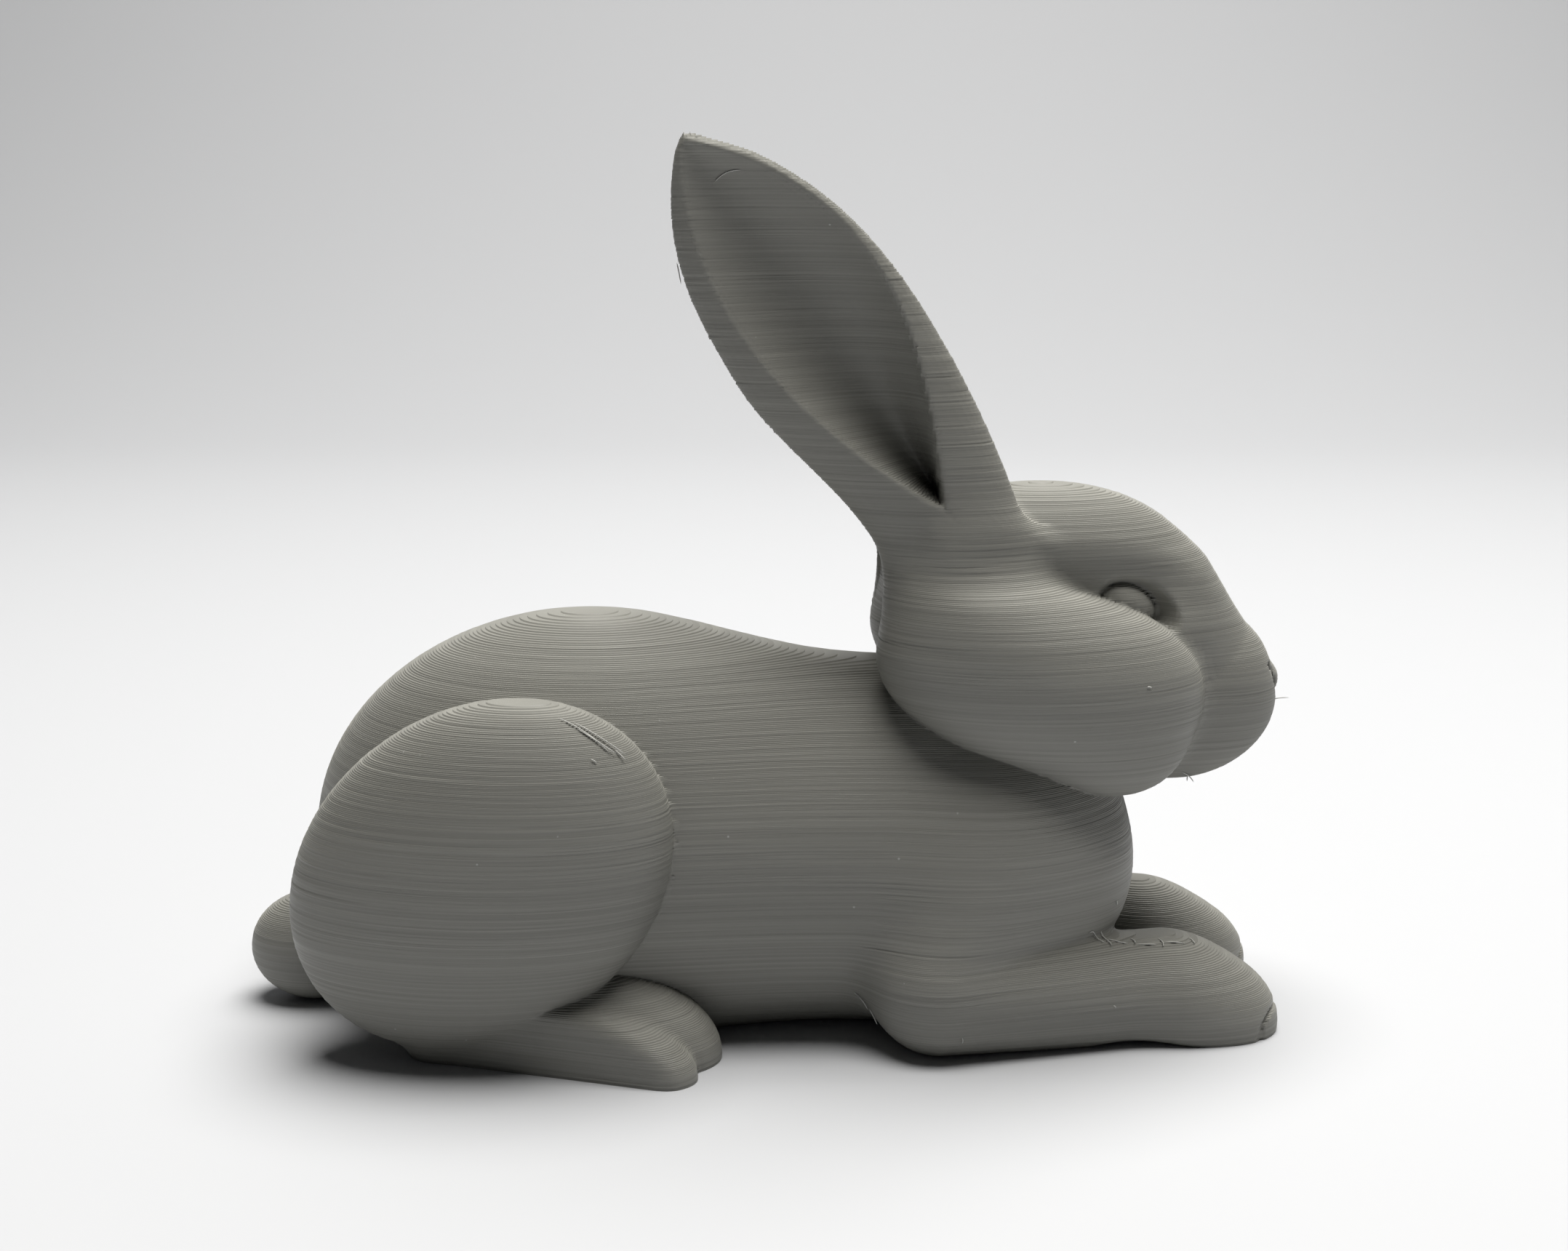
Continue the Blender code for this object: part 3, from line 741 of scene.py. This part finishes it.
# ---- Stray strings ----
# Hairs of the same plastic, drawn out by the nozzle as it travelled and left lying on the print,
# paler for being so thin. Each is a tapering tube laid on the print from one place to another:
# start, end, how far it bows aside, and how far its far end stands off.

STRING_PALE = (0.62, 0.62, 0.60, 1.0)
STRING_DULL = (0.36, 0.36, 0.34, 1.0)
STRING_GRAIN = 1800.0
STRING_ROUGHNESS = (0.25, 0.6)
STRING_DEPTH = 0.00003
STRING_RADIUS = 0.08
STRING_LIFT = 0.1
STRING_TAPER = (6, 0.03)
STRINGS = {
    "haunch long": ((-23.8, -25.4, 45.1), (-17.2, -27.2, 41.0), 0.5, 0.0),
    "haunch crossing": ((-21.9, -25.6, 44.8), (-15.3, -26.2, 40.4), -0.3, 0.1),
    "haunch inner": ((-21.4, -26.2, 43.9), (-16.2, -27.3, 41.2), -0.2, 0.1),
    "haunch tie": ((-16.6, -26.7, 41.6), (-15.4, -26.9, 40.2), 0.1, 0.1),
    "haunch crumb": ((-19.7, -28.3, 40.5), (-18.9, -28.5, 40.2), 0.1, 0.0),
    "elbow high": ((12.3, -18.6, 7.4), (14.2, -19.6, 5.4), 0.2, 0.2),
    "elbow low": ((14.2, -19.6, 5.4), (15.1, -20.4, 3.4), -0.2, 0.3),
    "forearm crumb": ((25.7, -25.8, 3.9), (25.8, -25.4, 2.7), 0.1, 0.0),
    "chin": ((55.2, -6.1, 32.8), (57.0, -4.4, 31.5), 0.2, 0.9),
    "chin short": ((56.2, -5.0, 32.2), (56.1, -5.0, 31.4), 0.0, 0.7),
    "muzzle": ((67.6, -1.2, 41.2), (70.2, -1.0, 41.4), 0.1, 2.0),
    "cheek crumb": ((48.2, -19.4, 47.3), (48.9, -19.3, 47.2), 0.1, 0.0),
    "chest crumb": ((45.9, -14.0, 18.0), (46.2, -14.0, 17.3), 0.1, 0.1),
    "paw crumb": ((45.0, -21.3, 6.5), (45.4, -21.3, 6.1), 0.1, 0.0),
    "ear scratch": ((-5.0, -9.9, 108.2), (-1.7, -10.2, 109.7), 0.4, 0.0),
    "ear edge": ((-9.4, -10.0, 98.6), (-8.8, -10.2, 96.0), -0.2, 0.1),
    "curl one": ((42.4, -16.8, 14.4), (44.6, -16.6, 13.6), 0.5, 0.1),
    "curl two": ((44.6, -15.4, 14.3), (45.3, -17.0, 13.3), 0.5, 0.2),
    "curl three": ((45.2, -15.9, 14.0), (47.6, -15.6, 13.0), 0.6, 0.0),
    "curl four": ((47.9, -14.2, 13.6), (48.3, -15.5, 12.6), 0.5, 0.3),
    "curl five": ((48.6, -15.6, 13.3), (51.2, -15.0, 12.3), 0.6, 0.1),
    "curl six": ((51.6, -13.6, 13.0), (52.0, -15.2, 12.0), 0.4, 0.1),
    "curl seven": ((52.4, -14.4, 12.8), (54.9, -14.0, 11.8), 0.5, 0.0),
    "curl eight": ((55.8, -12.4, 12.4), (56.2, -13.6, 11.6), 0.3, 0.1),
}


def print_distance(places):
    """The distance of places from the smooth form, on either side of the rabbit."""
    return joined(places[..., 0], np.abs(places[..., 1]), places[..., 2])


def laid_on(places, off, step=0.1):
    """Moves places along the form's slope, three times over, until each is its own way off it. The
    slope is the change in distance over a short step each way."""
    for _ in range(3):
        here = print_distance(places)
        ahead = [print_distance(places + step * way) for way in np.eye(3)]
        slope = np.stack([there - here for there in ahead], axis=-1) / step
        square = np.maximum((slope**2).sum(axis=-1, keepdims=True), 0.2)
        places = places - (here - off)[..., None] * slope / square
    return places


def tube_facets(index):
    """Walls between neighbouring rings of each tube, and a fan of triangles over both its ends."""
    after = np.roll(index, -1, axis=2)
    low, low_after, high, high_after = index[:, :-1], after[:, :-1], index[:, 1:], after[:, 1:]
    walls = np.stack([low, low_after, high_after, low, high_after, high], axis=-1).reshape(-1, 3)
    fan = np.arange(1, index.shape[2] - 1)
    ends = []
    for ring, near, far in ((index[:, 0], fan + 1, fan), (index[:, -1], fan, fan + 1)):
        corners = np.broadcast_arrays(ring[:, :1], ring[:, near], ring[:, far])
        ends.append(np.stack(corners, axis=-1).reshape(-1, 3))
    return walls, np.concatenate(ends)


def string_tubes(stations=9, around=6):
    """Each string's middle line runs from start to end, laid on the print and lifted off it towards
    its free end, with a bow of bow * sin(pi * part) along the print. The rings stand square to the
    string and shrink to almost nothing at both ends."""
    start, end = (np.array([ends[which] for ends in STRINGS.values()]) for which in (0, 1))
    bow, reach = (np.array([ends[which] for ends in STRINGS.values()])[:, None] for which in (2, 3))
    part = np.linspace(0.0, 1.0, stations)
    axis = (end - start) / np.linalg.norm(end - start, axis=1, keepdims=True)
    first = np.cross(axis, (0.1, 1.0, 0.2))
    first = first / np.linalg.norm(first, axis=1, keepdims=True)
    second = np.cross(axis, first)
    middle = start[:, None] + (end - start)[:, None] * part[:, None]
    middle = middle + (bow * np.sin(np.pi * part))[:, :, None] * first[:, None]
    middle = laid_on(middle, STRING_LIFT + reach * part**2)
    turn = np.linspace(0.0, 2.0 * np.pi, around, endpoint=False)
    power, least = STRING_TAPER
    radius = STRING_RADIUS * np.maximum(1.0 - np.abs(2.0 * part - 1.0) ** power, least)
    ring = np.cos(turn)[:, None] * first[:, None] + np.sin(turn)[:, None] * second[:, None]
    corners = middle[:, :, None] + ring[:, None] * radius[:, None, None]
    index = np.arange(corners[..., 0].size).reshape(corners.shape[:3])
    walls, ends = tube_facets(index)
    string, station, place = np.unravel_index(np.arange(index.size), index.shape)
    row = (string + 0.1 + 0.7 * place / around) / len(start)
    unwrap = np.stack([0.02 + 0.96 * station / (stations - 1), row], axis=1)
    wall_place = place[walls]
    seam = (wall_place == 0) & (wall_place.max(axis=1) > 1)[:, None]
    facets = np.concatenate([walls, ends])
    unwrap = unwrap[facets]
    unwrap[: len(walls), :, 1] += seam * 0.7 / len(start)
    return corners.reshape(-1, 3), facets, unwrap


def string_material():
    """A fine grain of pale smooth plastic and of dull rougher plastic, in slight relief."""
    material = bpy.data.materials.new("drawn_filament")
    material.use_nodes = True
    nodes, links = material.node_tree.nodes, material.node_tree.links
    shader = nodes["Principled BSDF"]
    where = nodes.new("ShaderNodeTexCoord")
    grain = nodes.new("ShaderNodeTexNoise")
    grain.inputs["Scale"].default_value = STRING_GRAIN
    links.new(where.outputs["Object"], grain.inputs["Vector"])
    colour = nodes.new("ShaderNodeMix")
    colour.data_type = "RGBA"
    colour.inputs["A"].default_value = STRING_PALE
    colour.inputs["B"].default_value = STRING_DULL
    links.new(grain.outputs[0], colour.inputs["Factor"])
    links.new(colour.outputs["Result"], shader.inputs["Base Color"])
    rough = nodes.new("ShaderNodeMapRange")
    rough.inputs["To Min"].default_value = STRING_ROUGHNESS[0]
    rough.inputs["To Max"].default_value = STRING_ROUGHNESS[1]
    links.new(grain.outputs[0], rough.inputs["Value"])
    links.new(rough.outputs[0], shader.inputs["Roughness"])
    bump = nodes.new("ShaderNodeBump")
    bump.inputs["Strength"].default_value = 0.4
    bump.inputs["Distance"].default_value = STRING_DEPTH
    links.new(grain.outputs[0], bump.inputs["Height"])
    links.new(bump.outputs[0], shader.inputs["Normal"])
    return material


strings = new_piece("stray_strings", *string_tubes())
strings.data.shade_smooth()
strings.data.materials.append(string_material())


# ---- Studio ----
# A pale sweep of card under the rabbit, one wide soft light overhead, a little behind it and
# towards its nose, and the camera as high as its ear tips, looking slightly down at its right side.

CAMERA_PLACE = (0.0035, -0.300, 0.1145)
CAMERA_PITCH = 11.96
CAMERA_LENS = 53.77
CARD_WIDTH = 6.0
CARD_NEAR = -2.0
CARD_CURVE = (0.55, 0.5)
CARD_TOP = 2.5
CARD_COLOUR = (0.50, 0.51, 0.5375, 1.0)
LAMP_PLACE = (0.12, 0.12, 0.97)
LAMP_SIZE = 0.9
LAMP_POWER = 22.0
LAMP_COLOUR = (1.0, 0.98, 0.93)
ROOM_COLOUR = (0.86, 0.88, 0.92, 1.0)
ROOM_STRENGTH = 0.02


def card_sweep():
    """A flat floor that curves up far behind as a quarter of a circle."""
    turn = np.radians(np.linspace(0.0, 90.0, 24))
    start, radius = CARD_CURVE
    depth = np.concatenate([[CARD_NEAR], start + radius * np.sin(turn), [start + radius]])
    height = np.concatenate([[0.0], radius - radius * np.cos(turn), [CARD_TOP]])
    ends = (-CARD_WIDTH / 2.0, CARD_WIDTH / 2.0)
    edges = [np.stack([np.full(len(depth), end), depth, height], axis=1) for end in ends]
    corners = np.concatenate(edges)
    row = np.arange(len(depth) - 1)
    faces = np.stack([row, row + len(depth), row + len(depth) + 1, row + 1], axis=1)
    mesh = bpy.data.meshes.new("card")
    mesh.from_pydata(corners.tolist(), [], faces.tolist())
    mesh.shade_smooth()
    card = bpy.data.objects.new("card", mesh)
    bpy.context.collection.objects.link(card)
    material = bpy.data.materials.new("pale_card")
    material.use_nodes = True
    shader = material.node_tree.nodes["Principled BSDF"]
    shader.inputs["Base Color"].default_value = CARD_COLOUR
    shader.inputs["Roughness"].default_value = 0.6
    mesh.materials.append(material)
    return card


def soft_light(name, place, aim, size, power, colour):
    """A round area light at a place, turned to face what it is aimed at."""
    lamp = bpy.data.lights.new(name, "AREA")
    lamp.shape = "DISK"
    lamp.size = size
    lamp.energy = power
    lamp.color = colour
    item = bpy.data.objects.new(name, lamp)
    bpy.context.collection.objects.link(item)
    item.location = place
    item.rotation_euler = (Vector(aim) - Vector(place)).to_track_quat("-Z", "Y").to_euler()


card_sweep()
soft_light("overhead", LAMP_PLACE, (0.0, 0.0, 0.0), LAMP_SIZE, LAMP_POWER, LAMP_COLOUR)

world = bpy.data.worlds.new("studio")
world.use_nodes = True
world.node_tree.nodes["Background"].inputs["Color"].default_value = ROOM_COLOUR
world.node_tree.nodes["Background"].inputs["Strength"].default_value = ROOM_STRENGTH
bpy.context.scene.world = world
bpy.context.scene.view_settings.view_transform = "Standard"

camera_data = bpy.data.cameras.new("camera")
camera_data.lens = CAMERA_LENS
camera_data.sensor_width = 36.0
camera_data.clip_start = 0.01
camera = bpy.data.objects.new("camera", camera_data)
camera.location = CAMERA_PLACE
camera.rotation_euler = (np.radians(90.0 - CAMERA_PITCH), 0.0, 0.0)
bpy.context.collection.objects.link(camera)
bpy.context.scene.camera = camera
